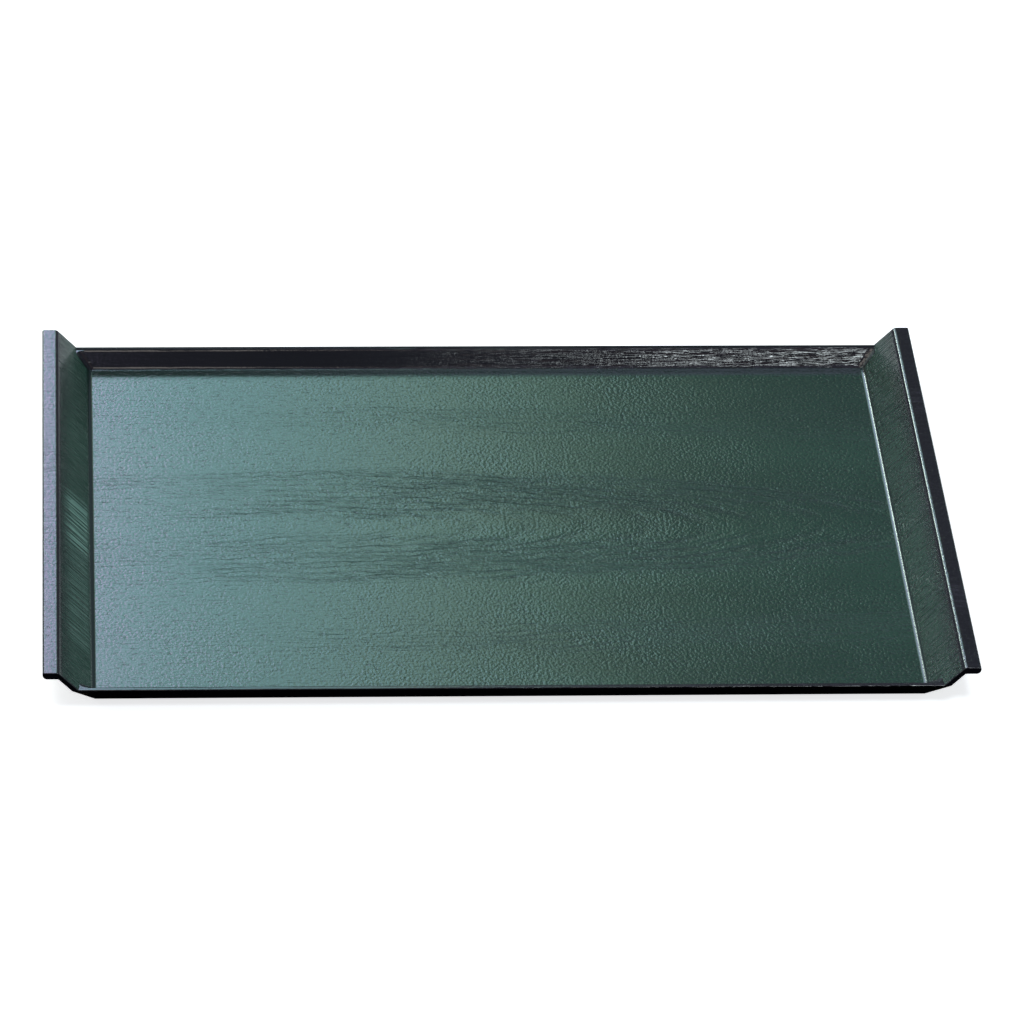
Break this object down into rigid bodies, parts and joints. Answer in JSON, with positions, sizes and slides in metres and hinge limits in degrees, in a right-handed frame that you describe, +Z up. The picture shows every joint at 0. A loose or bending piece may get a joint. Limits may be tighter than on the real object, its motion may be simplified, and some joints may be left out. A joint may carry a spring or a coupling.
{
  "type": "serving tray",
  "caption": "Rectangular lacquered wooden serving tray with low sloping rims and raised end wings that turn out into flat hand-holds.",
  "frame": {"origin": "middle of the underside", "axes": "+X along the length towards the right-hand wing, +Y from the front rim to the rear rim, +Z up"},
  "size_m": [0.45, 0.33, 0.022],
  "materials": {
    "green_lacquer": "glossy dark green lacquer over open grain",
    "black_lacquer": "glossy black lacquer over open grain",
    "bare_hardwood": "bare, hidden under the lacquer"
  },
  "bodies": {
    "root": {"floor_panel": "green_lacquer", "left_wing": "green_lacquer", "right_wing": "green_lacquer", "front_rim": "black_lacquer", "rear_rim": "black_lacquer", "left_flange": "black_lacquer", "right_flange": "black_lacquer", "front_left_key": "bare_hardwood", "front_right_key": "bare_hardwood", "rear_left_key": "bare_hardwood", "rear_right_key": "bare_hardwood"}
  },
  "joints": []
}
